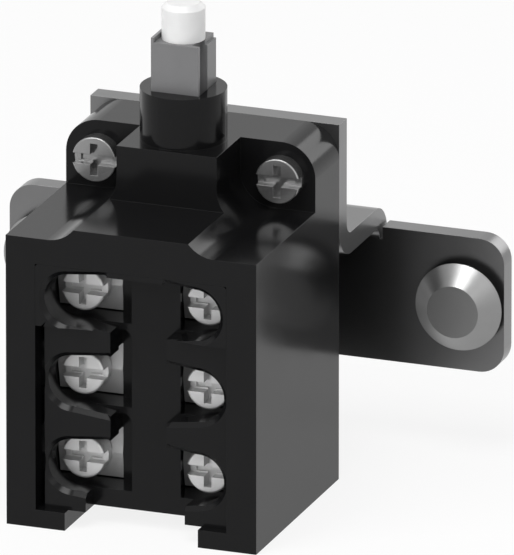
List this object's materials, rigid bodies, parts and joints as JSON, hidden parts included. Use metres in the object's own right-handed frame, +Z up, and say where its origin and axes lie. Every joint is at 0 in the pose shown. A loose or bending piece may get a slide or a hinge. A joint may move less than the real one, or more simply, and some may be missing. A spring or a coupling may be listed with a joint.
{
  "type": "door position switch",
  "caption": "Open position switch with a sprung plunger, screw terminals in a black case and a bent steel bracket with hook studs.",
  "frame": {"origin": "midway between the two hook studs, on the front face of the bracket's bar", "axes": "+X right along the bar, +Y back away from the terminals, +Z up along the plunger"},
  "size_m": [0.0604, 0.043, 0.0585],
  "materials": {
    "black_moulding": "moulded, satin",
    "insert_moulding": "moulded, satin",
    "grey_moulding": "moulded, satin",
    "white_moulding": "smooth",
    "zinc_steel": "zinc coated, satin",
    "stud_steel": "turned, zinc coated",
    "screw_steel": "zinc coated, bright",
    "clamp_steel": "stamped, zinc coated",
    "contact_brass": "stamped, satin",
    "spring_steel": "drawn wire"
  },
  "bodies": {
    "case": {"housing": "black_moulding", "rear_cover": "black_moulding", "terminal_insert": "insert_moulding", "bracket": "zinc_steel", "hook_stud_left": "stud_steel", "hook_stud_right": "stud_steel", "fixing_screw_left": "screw_steel", "fixing_screw_right": "screw_steel", "return_spring": "spring_steel", "terminal_screw_left_1": "screw_steel", "clamp_plate_left_1": "clamp_steel", "fixed_contact_left_1": "contact_brass", "terminal_screw_left_2": "screw_steel", "clamp_plate_left_2": "clamp_steel", "fixed_contact_left_2": "contact_brass", "terminal_screw_left_3": "screw_steel", "clamp_plate_left_3": "clamp_steel", "fixed_contact_left_3": "contact_brass", "terminal_screw_right_1": "screw_steel", "clamp_plate_right_1": "clamp_steel", "fixed_contact_right_1": "contact_brass", "terminal_screw_right_2": "screw_steel", "clamp_plate_right_2": "clamp_steel", "fixed_contact_right_2": "contact_brass", "terminal_screw_right_3": "screw_steel", "clamp_plate_right_3": "clamp_steel", "fixed_contact_right_3": "contact_brass"},
    "plunger": {"plunger_carrier": "grey_moulding", "plunger_pin": "white_moulding", "contact_bridge_1": "contact_brass", "contact_bridge_2": "contact_brass", "contact_bridge_3": "contact_brass", "contact_spring_lower": "spring_steel", "contact_spring_upper": "spring_steel"}
  },
  "joints": [
    {"name": "plunger_press", "type": "slide", "parent": "case", "child": "plunger", "axis": [0, 0, -1], "range_m": [0, 0.005], "stiffness_N_per_m": 600, "springref_m": -0.006, "deforming": ["return_spring"]}
  ]
}
